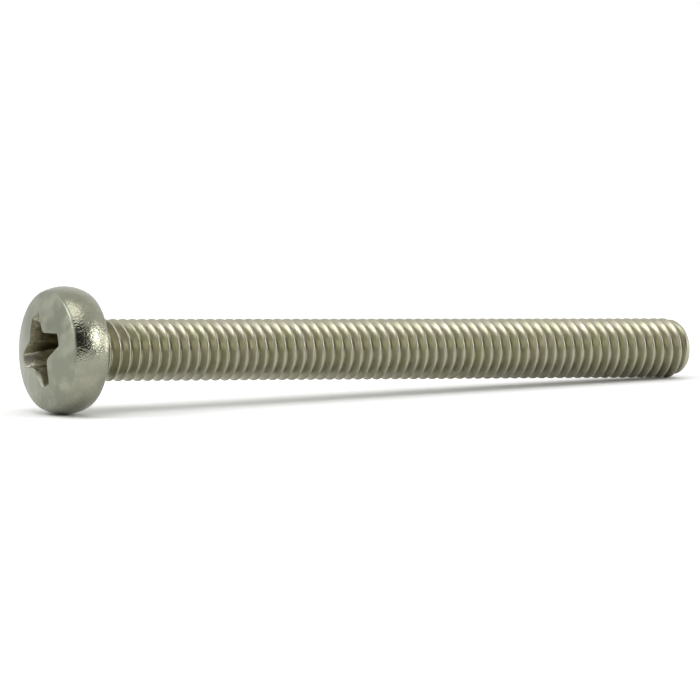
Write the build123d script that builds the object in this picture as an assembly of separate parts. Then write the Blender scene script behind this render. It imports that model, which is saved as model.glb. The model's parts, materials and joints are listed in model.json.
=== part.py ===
from build123d import *
import math
import os

# A cross-recess machine screw, M4 x 0.7 by 45, lying on a flat surface as it comes to rest:
# on the widest part of its head and on the last crest of its thread. It is one piece of steel.
# It is built upright, with the face under the head at height 0 and the head above, then laid down.

# Driving dimensions, in millimetres and degrees.
THREAD_DIAMETER = 3.9  # over the crests of the rolled thread
UNDERHEAD_LENGTH = 44.7  # face under the head to the flat of the tip
TIP_DIAMETER = 3.24
TIP_CHAMFER_LENGTH = 0.7
HEAD_DIAMETER = 7.96  # at the widest, half-way up the side
HEAD_SIDE_BULGE = 0.31  # how far the side swells out past its edges, at the crown and under the head
HEAD_SIDE_HEIGHT = 2.42
CROWN_RISE = 0.68  # how far the domed top stands over the edge of the side
CROWN_EDGE_RADIUS = 0.12
UNDERHEAD_RADIUS = 0.2
RECESS_SPAN = 4.6  # wing end to wing end, at the mouth
RECESS_WING_WIDTH = 0.81  # of a wing's end, at the mouth
RECESS_DEPTH = 2.2  # below the wing ends at the mouth
RECESS_END_TAPER = 26.5  # each wing end, from the screw's axis
RECESS_FLANK_DRAFT = 5.75  # each wing side, from the screw's axis
RECESS_WING_FLARE = 17.0  # each wing side, from the middle line of its wing, seen from the top
RECESS_CORNER_RADIUS = 0.35  # between two wings
RECESS_POINT_DEPTH = 0.61  # of the shallow cone at the bottom
RECESS_TURN = 21.4  # a wing above the horizontal once the screw lies down


def head_edge():
    """Radius of the side's two edges."""
    return HEAD_DIAMETER / 2 - HEAD_SIDE_BULGE


def crown_height(radius):
    """Height of the domed top at a radius from the axis."""
    dome_radius = (head_edge() ** 2 + CROWN_RISE**2) / (2 * CROWN_RISE)
    return HEAD_SIDE_HEIGHT + CROWN_RISE - dome_radius + math.sqrt(dome_radius**2 - radius**2)


def head_profile():
    """Half of the head's outline, from the axis under the head round to the axis at the crown."""
    edge = head_edge()
    under = Line((0, 0), (edge, 0))
    side = ThreePointArc((edge, 0), (HEAD_DIAMETER / 2, HEAD_SIDE_HEIGHT / 2), (edge, HEAD_SIDE_HEIGHT))
    dome = ThreePointArc((edge, HEAD_SIDE_HEIGHT), (edge / 2, crown_height(edge / 2)), (0, crown_height(0)))
    axis = Line((0, crown_height(0)), (0, 0))
    sharp = make_face([under, side, dome, axis])
    crown_edge = sharp.vertices().sort_by_distance((edge, HEAD_SIDE_HEIGHT))[0]
    return fillet(crown_edge, CROWN_EDGE_RADIUS)


def head_blank():
    """The head before its recess is struck."""
    return revolve(Plane.XZ * head_profile(), Axis.Z)


def shank():
    """The shank over its thread crests, with the radius under the head and the chamfer at the tip."""
    crest = THREAD_DIAMETER / 2
    tip = TIP_DIAMETER / 2
    neck = crest + UNDERHEAD_RADIUS
    top = Line((0, 0), (neck, 0))
    radius = RadiusArc((neck, 0), (crest, -UNDERHEAD_RADIUS), -UNDERHEAD_RADIUS)
    side = Line((crest, -UNDERHEAD_RADIUS), (crest, TIP_CHAMFER_LENGTH - UNDERHEAD_LENGTH))
    chamfer = Line((crest, TIP_CHAMFER_LENGTH - UNDERHEAD_LENGTH), (tip, -UNDERHEAD_LENGTH))
    end = Line((tip, -UNDERHEAD_LENGTH), (0, -UNDERHEAD_LENGTH))
    axis = Line((0, -UNDERHEAD_LENGTH), (0, 0))
    return revolve(Plane.XZ * make_face([top, radius, side, chamfer, end, axis]), Axis.Z)


def recess_star(height):
    """The recess's four-wing section at a height, before the tapered ends bound it."""
    flare = math.radians(RECESS_WING_FLARE)
    mouth = crown_height(RECESS_SPAN / 2)
    draft = (height - mouth) * math.tan(math.radians(RECESS_FLANK_DRAFT))
    point = RECESS_SPAN / 2 + RECESS_WING_WIDTH / 2 / math.tan(flare) + draft / math.sin(flare)
    inner = point * math.tan(flare) / (1 + math.tan(flare))
    corners = []
    for turn in range(4):
        corners.append(Vector(point, 0).rotate(Axis.Z, 90 * turn))
        corners.append(Vector(inner, inner).rotate(Axis.Z, 90 * turn))
    star = make_face(Polyline(*corners, close=True))
    between_wings = star.vertices().sort_by(lambda v: math.hypot(v.X, v.Y))[:4]
    return Pos(0, 0, height) * fillet(between_wings, RECESS_CORNER_RADIUS)


def recess():
    """The driver recess as a solid: drafted wings, cut to the punch's tapered ends and shallow point."""
    floor = crown_height(RECESS_SPAN / 2) - RECESS_DEPTH
    point = floor - RECESS_POINT_DEPTH
    over = crown_height(0) + 0.5
    taper = math.tan(math.radians(RECESS_END_TAPER))
    floor_radius = RECESS_SPAN / 2 - RECESS_DEPTH * taper
    over_radius = floor_radius + (over - floor) * taper
    punch_outline = Polyline((0, point), (floor_radius, floor), (over_radius, over), (0, over), close=True)
    punch = revolve(Plane.XZ * make_face(punch_outline), Axis.Z)
    wings = loft([recess_star(point), recess_star(over)], ruled=True)
    return Rot(0, 0, RECESS_TURN) * (wings & punch)


def rest_tilt():
    """Angle from horizontal of the axis when the head's side and the last crest both touch the floor."""
    half_side = HEAD_SIDE_HEIGHT / 2
    side_radius = (half_side**2 + HEAD_SIDE_BULGE**2) / (2 * HEAD_SIDE_BULGE)
    along = UNDERHEAD_LENGTH - TIP_CHAMFER_LENGTH + half_side
    across = THREAD_DIAMETER / 2 - (HEAD_DIAMETER / 2 - side_radius)
    return math.degrees(math.asin(side_radius / math.hypot(along, across)) - math.atan2(across, along))


def laid_down(upright):
    """Turns the upright screw so that its head is at -X and it rests on z = 0, centred on the origin."""
    lying = Rot(0, -90 + rest_tilt(), 0) * upright
    box = lying.bounding_box(optimal=True)
    return Pos(-box.center().X, -box.center().Y, -box.min.Z) * lying


screw = laid_down(head_blank() + shank() - recess())
screw.label = "screw"

os.makedirs("parts", exist_ok=True)
export_step(screw, "parts/screw.step")
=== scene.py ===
import json
import math

import bpy
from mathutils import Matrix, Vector


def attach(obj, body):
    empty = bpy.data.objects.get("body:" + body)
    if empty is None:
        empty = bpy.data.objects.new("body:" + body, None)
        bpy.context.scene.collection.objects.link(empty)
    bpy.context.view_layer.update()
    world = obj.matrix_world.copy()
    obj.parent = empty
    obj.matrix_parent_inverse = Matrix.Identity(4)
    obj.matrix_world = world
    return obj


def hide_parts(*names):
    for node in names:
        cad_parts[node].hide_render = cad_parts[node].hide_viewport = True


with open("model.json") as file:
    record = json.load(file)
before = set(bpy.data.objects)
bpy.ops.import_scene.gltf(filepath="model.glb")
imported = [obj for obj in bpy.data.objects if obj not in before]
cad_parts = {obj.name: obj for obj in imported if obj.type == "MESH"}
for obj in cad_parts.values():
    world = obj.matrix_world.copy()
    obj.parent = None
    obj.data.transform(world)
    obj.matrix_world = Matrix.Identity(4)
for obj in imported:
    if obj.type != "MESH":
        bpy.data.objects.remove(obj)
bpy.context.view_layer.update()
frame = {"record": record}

# ---- The screw's lie ---------------------------------------------------------------------------
# The screw rests on its head and on the last crest of its thread, so its axis dips towards the tip.
# Its mounts give that axis and the face under the head, from which places along it are measured, in
# millimetres.

MM = 0.001
mounts = {mount["name"]: mount for mount in frame["record"]["mounts"]}
to_tip = Vector(mounts["thread"]["axis"]).normalized()
on_axis = Vector(mounts["thread"]["pos_m"])
under_head = on_axis + to_tip * (Vector(mounts["bearing_face"]["pos_m"]) - on_axis).dot(to_tip)
near_side = Vector((0, -1, 0))
upper_side = near_side.cross(to_tip)


def on_screw(along, radius, turn):
    """A point `along` from the face under the head towards the tip, turned from the near side downward."""
    outward = near_side * math.cos(turn) - upper_side * math.sin(turn)
    return under_head + (to_tip * along + outward * radius) * MM


# ---- The driver recess ---------------------------------------------------------------------------
# A number 2 cross recess, struck into the head by a punch while the head is formed. Its wing ends
# and wing sides taper so that the punch draws out, and its floor is a shallow cone.

HEAD_COLUMNS = 288  # points in each ring round the head
RECESS_TURN = math.radians(21.4)  # of the first wing, above the near side
RECESS_SPAN = 4.6  # wing end to wing end, at the mouth
RECESS_WING_WIDTH = 0.81  # of a wing's end, at the mouth
RECESS_DEPTH = 2.2  # below the wing ends at the mouth
RECESS_POINT_DEPTH = 0.61  # of the shallow cone
RECESS_FLARE = math.radians(17)  # of a wing's side, from the middle line of its wing
END_TAPER = math.tan(math.radians(26.5))  # of a wing's end, from the screw's axis
SIDE_DRAFT = math.tan(math.radians(5.75))  # of a wing's side, from the screw's axis
HEAD_EDGE_RADIUS = 3.67  # of the side's two edges, at the crown and under the head
HEAD_SIDE_HEIGHT = 2.42
CROWN_RISE = 0.68  # of the domed top over the edge of the side
CROWN_RADIUS = (HEAD_EDGE_RADIUS**2 + CROWN_RISE**2) / (2 * CROWN_RISE)
CLOSING_IN_STEPS = 12
WING_CORNER_BLEND = 0.03
INNER_CORNER_BLEND = 0.22
MOUTH_ROUNDING = 0.045
WORN_ROUNDING = 0.34  # where drivers have slipped out of the lower wing
WORN_TURN = math.radians(91)
WORN_REACH = math.radians(19)


def crown_height(radius):
    """Height of the domed top over the face under the head."""
    return HEAD_SIDE_HEIGHT + CROWN_RISE - CROWN_RADIUS + math.sqrt(CROWN_RADIUS**2 - radius**2)


mouth_height = crown_height(RECESS_SPAN / 2)
floor_height = mouth_height - RECESS_DEPTH
side_distance = (RECESS_SPAN / 2 + RECESS_WING_WIDTH / 2 / math.tan(RECESS_FLARE)) * math.sin(RECESS_FLARE)


def smooth_least(a, b, blend):
    """The lesser of two lengths, with the corner between them rounded over `blend`."""
    near = max(blend - abs(a - b), 0) / blend
    return min(a, b) - near * near * blend / 4


def smooth_most(a, b, blend):
    """The greater of two lengths, with the corner between them rounded over `blend`."""
    return -smooth_least(-a, -b, blend)


def recess_radius(height, turn):
    """How far the recess reaches from the axis at a height and turn."""
    quarter = (turn + RECESS_TURN) % (math.pi / 2)
    from_wing = min(quarter, math.pi / 2 - quarter)
    square = side_distance + (height - mouth_height) * SIDE_DRAFT
    this_side = square / math.sin(RECESS_FLARE + from_wing)
    next_side = square / math.sin(RECESS_FLARE + math.pi / 2 - from_wing)
    wing_end = RECESS_SPAN / 2 + (height - mouth_height) * END_TAPER
    side = smooth_most(this_side, next_side, INNER_CORNER_BLEND)
    return smooth_least(wing_end, side, WING_CORNER_BLEND)


def mouth_of_recess(turn):
    """Radius and height where the recess breaks through the domed top, found by closing in on it."""
    height = mouth_height
    for _ in range(CLOSING_IN_STEPS):
        radius = recess_radius(height, turn)
        height = crown_height(radius)
    return radius, height


def mouth_rounding(turn):
    """How far the recess's edge is broken, which is furthest where a driver has worn it."""
    from_worn = min(abs(turn - WORN_TURN) / WORN_REACH, 1)
    return MOUTH_ROUNDING + (WORN_ROUNDING - MOUTH_ROUNDING) * (1 - from_worn**2) ** 2


turns = [2 * math.pi * k / HEAD_COLUMNS for k in range(HEAD_COLUMNS)]
mouth = [mouth_of_recess(turn) for turn in turns]
verts = []
faces = []
finishes = []
FINISHES = ["crown", "side", "rolled", "recess"]


def add_ring(points):
    """Adds a closed ring of points and returns their numbers."""
    first = len(verts)
    verts.extend(points)
    return list(range(first, len(verts)))


def recess_ring(share):
    """A ring down the recess's wall, from its mouth at share 0 to its floor at share 1."""
    points = []
    for turn, (_, top) in zip(turns, mouth):
        top -= mouth_rounding(turn)
        height = top + (floor_height - top) * share
        points.append(on_screw(-height, recess_radius(height, turn), turn))
    return add_ring(points)


def recess_floor_ring(share):
    """A ring on the shallow cone of the floor, from its edge at share 0 to its point at share 1."""
    points = []
    for turn in turns:
        edge = recess_radius(floor_height, turn)
        height = floor_height - RECESS_POINT_DEPTH * share
        points.append(on_screw(-height, edge * (1 - share), turn))
    return add_ring(points)


def add_face(corners, finish):
    faces.append(corners)
    finishes.append(FINISHES.index(finish))


def join_rings(before, after, finish):
    """Skins the band between two rings, where `after` may have a whole fraction of the points of `before`."""
    step = len(before) // len(after)
    for k in range(len(after)):
        wide = [before[(k * step + i) % len(before)] for i in range(step + 1)]
        add_face(wide + [after[(k + 1) % len(after)], after[k]], finish)


FLOOR_RINGS = (0.9, 0.6, 0.3, 0.06, 0)  # from beside the point out to the floor's edge
recess_point = len(verts)
verts.append(on_screw(-(floor_height - RECESS_POINT_DEPTH), 0, 0))
inner_ring = recess_floor_ring(FLOOR_RINGS[0])
for k in range(HEAD_COLUMNS):
    add_face([recess_point, inner_ring[(k + 1) % HEAD_COLUMNS], inner_ring[k]], "recess")
for share in FLOOR_RINGS[1:]:
    outer_ring = recess_floor_ring(share)
    join_rings(inner_ring, outer_ring, "recess")
    inner_ring = outer_ring
WALL_RINGS = 14
for k in range(WALL_RINGS - 1, -1, -1):
    outer_ring = recess_ring(k / WALL_RINGS)
    join_rings(inner_ring, outer_ring, "recess")
    inner_ring = outer_ring

# ---- The head --------------------------------------------------------------------------------------
# A pan head with a domed top and a bulging side, upset from the wire in closed dies. The top takes
# the dies' polish; the side, which the metal only fills out to, keeps a coarse pebbled skin.

HEAD_DIAMETER = 7.953  # a hair inside the solid part's own 7.96
CROWN_EDGE_ROUNDING = 0.1
CROWN_EDGE_STEPS = 5
POLISHED_EDGE_BANDS = 4  # of the crown's edge, which share the crown's polish
SIDE_STEPS = 16
UNDER_EDGE_ROUNDING = 0.06
UNDER_EDGE_STEPS = 4


def rounded_corner(before, corner, after, steps):
    """Points that round a corner of an outline, from `before` to `after`, with the corner as their pull."""
    points = []
    for k in range(steps + 1):
        t = k / steps
        weights = ((1 - t) ** 2, 2 * t * (1 - t), t * t)
        points.append(tuple(sum(w * p[i] for w, p in zip(weights, (before, corner, after))) for i in (0, 1)))
    return points


def side_arc():
    """The head's bulging side as (radius, height), from the crown's edge to the edge under the head."""
    bulge = HEAD_DIAMETER / 2 - HEAD_EDGE_RADIUS
    half = HEAD_SIDE_HEIGHT / 2
    arc_radius = (half**2 + bulge**2) / (2 * bulge)
    reach = math.asin(half / arc_radius)
    points = []
    for k in range(SIDE_STEPS + 1):
        angle = reach * (1 - 2 * k / SIDE_STEPS)
        radius = HEAD_DIAMETER / 2 - arc_radius * (1 - math.cos(angle))
        points.append((radius, half + arc_radius * math.sin(angle)))
    return points


def head_outline():
    """The head outside the recess as (radius, height), from the crown's edge to the face under the head."""
    side = side_arc()
    edge = HEAD_EDGE_RADIUS
    on_crown = (edge - CROWN_EDGE_ROUNDING, crown_height(edge - CROWN_EDGE_ROUNDING))
    under = (edge - UNDER_EDGE_ROUNDING, 0)
    top_corner = rounded_corner(on_crown, side[0], side[1], CROWN_EDGE_STEPS)
    low_corner = rounded_corner(side[-2], side[-1], under, UNDER_EDGE_STEPS)
    return top_corner + side[2:-2] + low_corner


outline = head_outline()
MOUTH_STEPS = ((0, 0.8), (0.1, 0.35), (0.4, 0.12), (1, 0))  # out and down over the mouth's broken edge
CROWN_STARTS = 1.15  # roundings outside the recess's mouth
CROWN_START_GAP = 0.03  # and this much further
CROWN_RINGS = 14
CROWN_CROWDING = 1.3  # crowds the crown's rings towards the recess


def mouth_ring(out, down):
    """A ring round the recess's mouth, `out` over the crown and `down` from it in shares of the rounding."""
    points = []
    for turn, (radius, _) in zip(turns, mouth):
        rounding = mouth_rounding(turn)
        reach = radius + out * rounding
        height = crown_height(reach) - down * rounding
        wall = recess_radius(height, turn) if out == 0 else reach
        points.append(on_screw(-height, wall, turn))
    return add_ring(points)


def crown_ring(share):
    """A ring of the domed top, from just outside the recess at share 0 to the crown's edge at share 1."""
    last_radius = outline[0][0]
    points = []
    for turn, (radius, _) in zip(turns, mouth):
        start = radius + CROWN_STARTS * mouth_rounding(turn) + CROWN_START_GAP
        reach = start + (last_radius - start) * share
        points.append(on_screw(-crown_height(reach), reach, turn))
    return add_ring(points)


for out, down in MOUTH_STEPS:
    outer_ring = mouth_ring(out, down)
    join_rings(inner_ring, outer_ring, "recess" if out == 0 else "crown")
    inner_ring = outer_ring
for k in range(CROWN_RINGS + 1):
    outer_ring = crown_ring((k / CROWN_RINGS) ** CROWN_CROWDING)
    join_rings(inner_ring, outer_ring, "crown")
    inner_ring = outer_ring
for number, (radius, height) in enumerate(outline[1:]):
    outer_ring = add_ring([on_screw(-height, radius, turn) for turn in turns])
    join_rings(inner_ring, outer_ring, "crown" if number < POLISHED_EDGE_BANDS else "side")
    inner_ring = outer_ring

# ---- The neck and the rolled thread ----------------------------------------------------------------
# The shank is drawn wire of the thread's mean diameter. Rolling between dies squeezes the M4 x 0.7
# right-hand thread out of it, from close under the head to the chamfer at the tip.

SHANK_COLUMNS = 72  # lengthwise lines of points round the shank
PITCH = 0.7
CREST_RADIUS = 1.95
ROOT_RADIUS = 1.47
NECK_RADIUS = 1.76
NECK_ROUNDING = 0.2
UNDERHEAD_LENGTH = 44.7
TIP_RADIUS = 1.62
TIP_CHAMFER_LENGTH = 0.7
CREST_FLAT = 0.075  # across the flat of a crest
FLANK_SLOPE = math.tan(math.radians(30))
CREST_BLEND = 0.04
ROOT_BLEND = 0.07
FIRST_CREST = 1.74  # the first full crest on the near side
THREAD_STARTS = 0.45
THREAD_IS_FULL = 1.25
LEAST_GAP = 0.01  # between the plain neck and the first point of the thread
TIP_EDGE_WIDTH = 0.02
TIP_EDGE_DROP = 0.005
SPARE_TURNS_BEFORE = 3  # counted past each end of the thread, before the ends are cut
SPARE_TURNS_AFTER = 2
# Shares of the pitch past a crest, closer together where the outline of the thread turns.
PROFILE_STEPS = (0, 0.04, 0.075, 0.13, 0.24, 0.35, 0.42, 0.5, 0.58, 0.65, 0.76, 0.87, 0.925, 0.96)


def thread_radius(along, step):
    """Radius of the thread at a share of the pitch past a crest, with its run-in and the tip's chamfer."""
    from_crest = min(step, 1 - step) * PITCH
    flank = CREST_RADIUS - (from_crest - CREST_FLAT / 2) / FLANK_SLOPE
    formed = smooth_most(smooth_least(CREST_RADIUS, flank, CREST_BLEND), ROOT_RADIUS, ROOT_BLEND)
    share = min(max((along - THREAD_STARTS) / (THREAD_IS_FULL - THREAD_STARTS), 0), 1)
    run_in = share * share * (3 - 2 * share)
    rolled = NECK_RADIUS + (formed - NECK_RADIUS) * run_in
    chamfer = TIP_RADIUS + (UNDERHEAD_LENGTH - along) * (CREST_RADIUS - TIP_RADIUS) / TIP_CHAMFER_LENGTH
    return smooth_least(rolled, chamfer, CREST_BLEND)


def rolled_column(turn, turns_before):
    """One lengthwise line of the thread: {number: vertex}, where equal numbers lie along one helix."""
    column = {}
    steps = len(PROFILE_STEPS)
    first = -SPARE_TURNS_BEFORE * steps
    last = int((UNDERHEAD_LENGTH / PITCH + SPARE_TURNS_AFTER) * steps)
    for number in range(first, last):
        step = PROFILE_STEPS[number % steps]
        along = FIRST_CREST + PITCH * (number // steps + step + turns_before)
        if THREAD_STARTS + LEAST_GAP < along < UNDERHEAD_LENGTH - TIP_EDGE_WIDTH:
            column[number] = len(verts)
            verts.append(on_screw(along, thread_radius(along, step), turn))
    return column


def join_columns(here, there, shift, here_ends, there_ends):
    """Skins the strip between two lengthwise lines, whose ends stop at a flat across the helix."""
    numbers = [n for n in here if n + shift in there]
    low, high = min(numbers), max(numbers)
    for n in range(low, high):
        add_face([here[n], there[n + shift], there[n + 1 + shift], here[n + 1]], "rolled")
    here_low = [here[n] for n in sorted(here) if n <= low]
    there_low = [there[n] for n in sorted(there) if n <= low + shift]
    add_face([here_ends[0], there_ends[0]] + there_low + here_low[::-1], "rolled")
    here_high = [here[n] for n in sorted(here) if n >= high]
    there_high = [there[n] for n in sorted(there) if n >= high + shift]
    add_face(here_high[::-1] + there_high + [there_ends[1], here_ends[1]], "rolled")


OUTER_FACE_RING = 2.7  # on the face under the head, where the head's columns thin out to the shank's
INNER_FACE_RING = 2.3
NECK_STEPS = 5
shank_turns = turns[:: HEAD_COLUMNS // SHANK_COLUMNS]
under_ring = add_ring([on_screw(0, OUTER_FACE_RING, turn) for turn in turns])
join_rings(inner_ring, under_ring, "side")
neck_ring = add_ring([on_screw(0, INNER_FACE_RING, turn) for turn in shank_turns])
join_rings(under_ring, neck_ring, "side")
on_face = (NECK_RADIUS + NECK_ROUNDING, 0)
on_neck = (NECK_RADIUS, NECK_ROUNDING)
neck_corner = rounded_corner(on_face, (NECK_RADIUS, 0), on_neck, NECK_STEPS)
for radius, along in neck_corner + [(NECK_RADIUS, THREAD_STARTS)]:
    next_ring = add_ring([on_screw(along, radius, turn) for turn in shank_turns])
    join_rings(neck_ring, next_ring, "rolled")
    neck_ring = next_ring

columns = [rolled_column(turn, k / SHANK_COLUMNS) for k, turn in enumerate(shank_turns)]


def tip_edge_radius(k):
    """Radius of the tip's flat at a column, where the last turn of the thread breaks its round edge."""
    step = ((UNDERHEAD_LENGTH - FIRST_CREST) / PITCH - k / SHANK_COLUMNS) % 1
    return thread_radius(UNDERHEAD_LENGTH, step)


tip_radii = [tip_edge_radius(k) for k in range(SHANK_COLUMNS)]
tip_edge = UNDERHEAD_LENGTH - TIP_EDGE_DROP
tip_ring = add_ring([on_screw(tip_edge, r - TIP_EDGE_WIDTH, t) for r, t in zip(tip_radii, shank_turns)])
for k in range(SHANK_COLUMNS):
    after = (k + 1) % SHANK_COLUMNS
    shift = len(PROFILE_STEPS) if after == 0 else 0
    ends = (neck_ring[k], tip_ring[k])
    next_ends = (neck_ring[after], tip_ring[after])
    join_columns(columns[k], columns[after], shift, ends, next_ends)

TIP_DISH_DEPTH = 0.1
TIP_DISH_SHARE = 0.9  # of the tip's radius, outside which its end is flat
TIP_RINGS = (0.93, 0.8, 0.6, 0.35, 0.12)  # shares of the tip's radius
for share in TIP_RINGS:
    dish = TIP_DISH_DEPTH * (1 - share**2) if share < TIP_DISH_SHARE else 0
    along = UNDERHEAD_LENGTH - dish
    next_ring = add_ring([on_screw(along, r * share, t) for r, t in zip(tip_radii, shank_turns)])
    join_rings(tip_ring, next_ring, "rolled")
    tip_ring = next_ring
tip_middle = len(verts)
verts.append(on_screw(UNDERHEAD_LENGTH - TIP_DISH_DEPTH, 0, 0))
for k in range(SHANK_COLUMNS):
    add_face([tip_middle, tip_ring[k], tip_ring[(k + 1) % SHANK_COLUMNS]], "rolled")


# ---- The steel and its finishes ----------------------------------------------------------------------
# Bare austenitic stainless steel, which each die leaves with its own skin: satin on the crown, pebbled where
# the side only filled out, drawn round the shank by the rolls, and in the recess painted lighter near its
# mouth and painted darker further down, as light and shade with some wear and grime.

SCREW_AXIS_DIP = math.atan2(-to_tip.z, to_tip.x)


def add_node(material, kind, **settings):
    """Adds a node, with its settings given by name and its sockets' values by `inputs`."""
    node = material.node_tree.nodes.new(kind)
    values = settings.pop("inputs", {})
    for setting, value in settings.items():
        setattr(node, setting, value)
    for socket, value in values.items():
        node.inputs[socket].default_value = value
    return node


def bare_steel(name):
    """A metal with a place on it measured in millimetres along (X) and across (Y, Z) the screw."""
    material = bpy.data.materials.new(name)
    material.use_nodes = True
    shader = material.node_tree.nodes["Principled BSDF"]
    shader.inputs["Metallic"].default_value = 1.0
    place = add_node(material, "ShaderNodeTexCoord")
    turned = add_node(material, "ShaderNodeVectorRotate", rotation_type="Y_AXIS")
    turned.inputs["Angle"].default_value = -SCREW_AXIS_DIP
    in_mm = add_node(material, "ShaderNodeVectorMath", operation="SCALE", inputs={"Scale": 1 / MM})
    join = material.node_tree.links.new
    join(place.outputs["Object"], turned.inputs["Vector"])
    join(turned.outputs["Vector"], in_mm.inputs["Vector"])
    return material, shader, in_mm.outputs["Vector"]


def patches(material, place, size, stretch=(1, 1, 1), detail=3, sharp=0.5):
    """Soft random patches from 0 to 1, `size` mm across, drawn out by `stretch` and sharpened by `sharp`."""
    join = material.node_tree.links.new
    drawn_out = add_node(material, "ShaderNodeVectorMath", operation="DIVIDE")
    drawn_out.inputs[1].default_value = stretch
    noise = add_node(material, "ShaderNodeTexNoise", inputs={"Scale": 1 / size, "Detail": detail})
    spread = add_node(material, "ShaderNodeMapRange", interpolation_type="SMOOTHSTEP")
    spread.inputs["From Min"].default_value = 0.5 * sharp
    spread.inputs["From Max"].default_value = 1 - 0.5 * sharp
    join(place, drawn_out.inputs[0])
    join(drawn_out.outputs["Vector"], noise.inputs["Vector"])
    join(noise.outputs["Fac"], spread.inputs["Value"])
    return spread.outputs["Result"]


PEBBLE_SMOOTHNESS = 0.6


def pebbles(material, place, size):
    """The rounded humps of a skin that no die has touched, `size` mm apart, from 0 to 1."""
    join = material.node_tree.links.new
    cells = add_node(material, "ShaderNodeTexVoronoi", feature="SMOOTH_F1")
    cells.inputs["Scale"].default_value = 1 / size
    cells.inputs["Smoothness"].default_value = PEBBLE_SMOOTHNESS
    join(place, cells.inputs["Vector"])
    return cells.outputs["Distance"]


def between(material, share, low, high):
    """A number that runs from `low` to `high` as `share` runs from 0 to 1."""
    ranged = add_node(material, "ShaderNodeMapRange", inputs={"To Min": low, "To Max": high})
    material.node_tree.links.new(share, ranged.inputs["Value"])
    return ranged.outputs["Result"]


# A Mix node's sockets for colours, by number, because those for other kinds have the same names.
MIX_SHARE = 0
MIX_FIRST = 6
MIX_SECOND = 7
MIX_RESULT = 2


def blend_colours(material, share, first, second):
    """A colour that runs from `first` to `second`, where `first` may be another blend."""
    mix = add_node(material, "ShaderNodeMix", data_type="RGBA")
    join = material.node_tree.links.new
    if isinstance(first, tuple):
        mix.inputs[MIX_FIRST].default_value = (*first, 1)
    else:
        join(first, mix.inputs[MIX_FIRST])
    mix.inputs[MIX_SECOND].default_value = (*second, 1)
    join(share, mix.inputs[MIX_SHARE])
    return mix.outputs[MIX_RESULT]


def raise_skin(material, shader, heights):
    """Bumps the surface by each (height from 0 to 1, mm of depth), one over the other."""
    join = material.node_tree.links.new
    before = None
    for height, depth in heights:
        bump = add_node(material, "ShaderNodeBump", inputs={"Distance": depth * MM, "Strength": 1.0})
        join(height, bump.inputs["Height"])
        if before:
            join(before, bump.inputs["Normal"])
        before = bump.outputs["Normal"]
    join(before, shader.inputs["Normal"])


def satin_crown():
    """The crown as the polished die leaves it: satin, faintly clouded and duller in patches."""
    material, shader, place = bare_steel("satin_crown")
    join = material.node_tree.links.new
    clouds = patches(material, place, 1.3, sharp=0.75)
    grain = patches(material, place, 0.06, detail=4, sharp=0.4)
    dull = patches(material, place, 0.6, sharp=0.7)
    colour = blend_colours(material, clouds, (0.223, 0.234, 0.177), (0.314, 0.323, 0.254))
    dulled = blend_colours(material, between(material, dull, 0, 0.4), colour, (0.218, 0.23, 0.182))
    join(dulled, shader.inputs["Base Color"])
    join(between(material, clouds, 0.30, 0.42), shader.inputs["Roughness"])
    raise_skin(material, shader, [(clouds, 0.02), (dull, 0.004), (grain, 0.0008)])
    return material


def pebbled_side():
    """The skin of the side, which keeps fine rounded humps with pits between them."""
    material, shader, place = bare_steel("pebbled_side")
    join = material.node_tree.links.new
    humps = pebbles(material, place, 0.16)
    pits = patches(material, place, 0.10, detail=3, sharp=0.5)
    clouds = patches(material, place, 0.9, sharp=0.6)
    colour = blend_colours(material, clouds, (0.262, 0.268, 0.20), (0.336, 0.334, 0.255))
    pitted = blend_colours(material, between(material, pits, 0, 0.5), colour, (0.21, 0.21, 0.163))
    join(pitted, shader.inputs["Base Color"])
    join(between(material, clouds, 0.13, 0.24), shader.inputs["Roughness"])
    raise_skin(material, shader, [(clouds, 0.02), (humps, 0.012), (pits, 0.006)])
    return material


def rolled_thread():
    """The thread as the rolls leave it, with fine marks that run round the screw and small scuffs."""
    material, shader, place = bare_steel("rolled_thread")
    join = material.node_tree.links.new
    tints = patches(material, place, 1.3, sharp=0.6)
    roll_marks = patches(material, place, 0.05, stretch=(1, 14, 14), detail=3, sharp=0.4)
    scuffs = patches(material, place, 0.22, stretch=(1, 3, 3), detail=4, sharp=0.7)
    colour = blend_colours(material, tints, (0.39, 0.385, 0.272), (0.408, 0.385, 0.308))
    scuffed = blend_colours(material, between(material, scuffs, 0, 0.4), colour, (0.28, 0.275, 0.195))
    join(scuffed, shader.inputs["Base Color"])
    join(between(material, roll_marks, 0.28, 0.41), shader.inputs["Roughness"])
    raise_skin(material, shader, [(roll_marks, 0.001), (scuffs, 0.003)])
    return material


# Depths below the mouth over which the recess's colour is painted darker, as shade with some grime.
SHADE_AND_GRIME_STARTS = 0.1  # below the recess's mouth
SHADE_AND_GRIME_IS_FULL = 1.2


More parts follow.
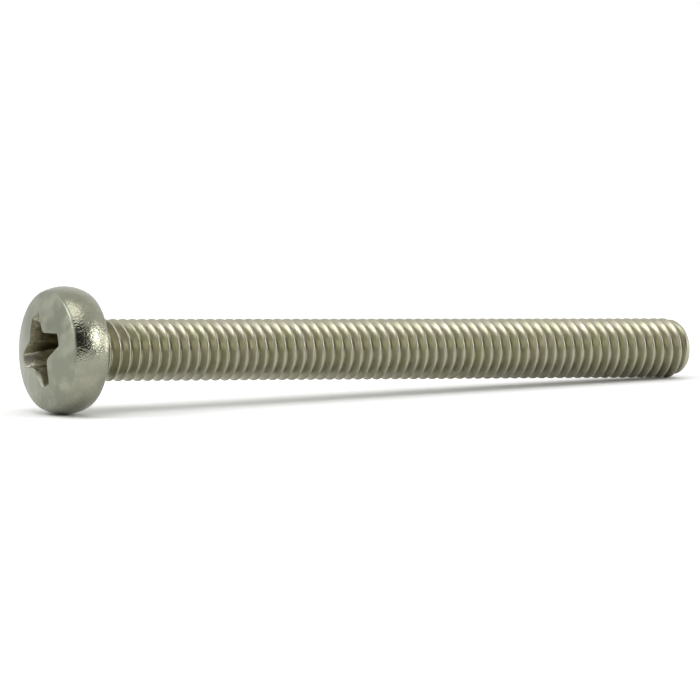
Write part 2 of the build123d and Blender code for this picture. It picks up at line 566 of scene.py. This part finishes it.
def struck_recess():
    """The recess as the punch leaves it, with painted light and some wear near its mouth, and painted shade
    with some grime further down.
    """
    material, shader, place = bare_steel("struck_recess")
    join = material.node_tree.links.new
    stain = patches(material, place, 0.9, detail=4, sharp=0.75)
    punch_marks = patches(material, place, 0.12, stretch=(1.5, 1, 1), detail=4, sharp=0.5)
    along_screw = add_node(material, "ShaderNodeSeparateXYZ")
    join(place, along_screw.inputs["Vector"])
    depth = add_node(material, "ShaderNodeMapRange", interpolation_type="SMOOTHSTEP")
    mouth_place = under_head.dot(to_tip) / MM - mouth_height
    depth.inputs["From Min"].default_value = mouth_place + SHADE_AND_GRIME_STARTS
    depth.inputs["From Max"].default_value = mouth_place + SHADE_AND_GRIME_IS_FULL
    join(along_screw.outputs["X"], depth.inputs["Value"])
    # Painted light with some wear: near the mouth the colour is much lighter than the steel elsewhere,
    # standing in for light that reaches into the recess.
    mouth_light_wear_and_stain = blend_colours(material, stain, (0.82, 0.81, 0.69), (0.60, 0.56, 0.43))
    # Painted shade with some grime: further down the colour darkens towards the recess's floor.
    colour = blend_colours(material, depth.outputs["Result"], mouth_light_wear_and_stain, (0.22, 0.20, 0.115))
    marked = blend_colours(material, between(material, punch_marks, 0, 0.5), colour, (0.12, 0.11, 0.08))
    join(marked, shader.inputs["Base Color"])
    join(between(material, punch_marks, 0.28, 0.5), shader.inputs["Roughness"])
    raise_skin(material, shader, [(stain, 0.03), (punch_marks, 0.006)])
    return material


materials = [satin_crown(), pebbled_side(), rolled_thread(), struck_recess()]

mesh = bpy.data.meshes.new("machine_screw")
mesh.from_pydata(verts, [], faces)
for material in materials:
    mesh.materials.append(material)
mesh.polygons.foreach_set("material_index", finishes)
mesh.polygons.foreach_set("use_smooth", [True] * len(mesh.polygons))
mesh.update()
screw = bpy.data.objects.new("machine_screw", mesh)
bpy.context.scene.collection.objects.link(screw)
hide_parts("screw")
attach(screw, "root")

# ---- The floor, the light and the camera ---------------------------------------------------------------
# A white table in a pale room that is darker on the side where the camera stands. Of four soft round
# panels, one hangs over the head, and the others stand to its left, to its right and beyond the tip.

floor_mesh = bpy.data.meshes.new("floor")
FLOOR_HALF = 4.0  # metres, half of the floor's width
FLOOR_WHITE = (0.94, 0.94, 0.94, 1)
floor_mesh.from_pydata(
    [(x * FLOOR_HALF, y * FLOOR_HALF, 0) for x, y in ((-1, -1), (1, -1), (1, 1), (-1, 1))], [], [(0, 1, 2, 3)]
)
floor = bpy.data.objects.new("floor", floor_mesh)
bpy.context.scene.collection.objects.link(floor)
white = bpy.data.materials.new("white_floor")
white.use_nodes = True
paint = white.node_tree.nodes["Principled BSDF"]
paint.inputs["Base Color"].default_value = FLOOR_WHITE
paint.inputs["Roughness"].default_value = 1.0
paint.inputs["Specular IOR Level"].default_value = 0.0
floor_mesh.materials.append(white)

DARK_SIDE = Vector((-0.30, -0.94, 0.16)).normalized()
ROOM_LIGHT = 1.0
DARK_LIGHT = 0.02
DARK_STARTS = 0.68  # cosines of the angle from the middle of the dark side
DARK_IS_FULL = 0.76

world = bpy.data.worlds.new("studio")
world.use_nodes = True
sky = world.node_tree.nodes
joins = world.node_tree.links
direction = sky.new("ShaderNodeTexCoord")
towards_dark = sky.new("ShaderNodeVectorMath")
towards_dark.operation = "DOT_PRODUCT"
towards_dark.inputs[1].default_value = DARK_SIDE
joins.new(direction.outputs["Generated"], towards_dark.inputs[0])
fade = sky.new("ShaderNodeMapRange")
fade.interpolation_type = "SMOOTHSTEP"
fade.inputs["From Min"].default_value = DARK_STARTS
fade.inputs["From Max"].default_value = DARK_IS_FULL
fade.inputs["To Min"].default_value = ROOM_LIGHT
fade.inputs["To Max"].default_value = DARK_LIGHT
joins.new(towards_dark.outputs["Value"], fade.inputs["Value"])
joins.new(fade.outputs["Result"], sky["Background"].inputs["Strength"])
sky["Background"].inputs["Color"].default_value = (1, 1, 1, 1)
bpy.context.scene.world = world

HALF_HEAD_HEIGHT = 1.5
PANEL_DISTANCE = 1.0  # metres
head_middle = under_head - to_tip * HALF_HEAD_HEIGHT * MM


def soft_panel(name, direction, size, radiance):
    """A round lamp `size` metres wide that faces the head from `direction`."""
    lamp = bpy.data.lights.new(name, "AREA")
    lamp.shape = "DISK"
    lamp.size = size
    lamp.energy = radiance * math.pi * math.pi * size**2 / 4
    panel = bpy.data.objects.new(name, lamp)
    outward = Vector(direction).normalized()
    panel.location = head_middle + outward * PANEL_DISTANCE
    panel.rotation_euler = outward.to_track_quat("Z", "Y").to_euler()
    bpy.context.scene.collection.objects.link(panel)


soft_panel("panel_over_head", (-0.12, -0.2, 0.97), 0.75, 1.6)
soft_panel("panel_left", (-0.75, 0.2, 0.6), 0.46, 5.0)
soft_panel("panel_right", (0.60, -0.70, 0.36), 0.48, 5.4)
soft_panel("panel_beyond_tip", (0.95, -0.27, 0.15), 0.34, 3.4)

CAMERA_AZIMUTH = math.radians(-31.246)
CAMERA_ELEVATION = math.radians(5.345)
CAMERA_DISTANCE = 393.5
CAMERA_LENS = 317.7
LOOKS_ALONG = 19.547  # from the face under the head towards the tip
LOOKS_BELOW = 0.057  # the screw's axis
looks_at = under_head + to_tip * LOOKS_ALONG * MM - upper_side * LOOKS_BELOW * MM
camera = bpy.data.objects.new("camera", bpy.data.cameras.new("camera"))
bpy.context.scene.collection.objects.link(camera)
back = Vector(
    (
        math.sin(CAMERA_AZIMUTH) * math.cos(CAMERA_ELEVATION),
        -math.cos(CAMERA_AZIMUTH) * math.cos(CAMERA_ELEVATION),
        math.sin(CAMERA_ELEVATION),
    )
)
camera.location = looks_at + back * CAMERA_DISTANCE * MM
camera.rotation_euler = (-back).to_track_quat("-Z", "Y").to_euler()
camera.data.sensor_width = 36
camera.data.lens = CAMERA_LENS
camera.data.clip_start = 0.01
camera.data.clip_end = 20
bpy.context.scene.camera = camera
bpy.context.scene.view_settings.view_transform = "Standard"
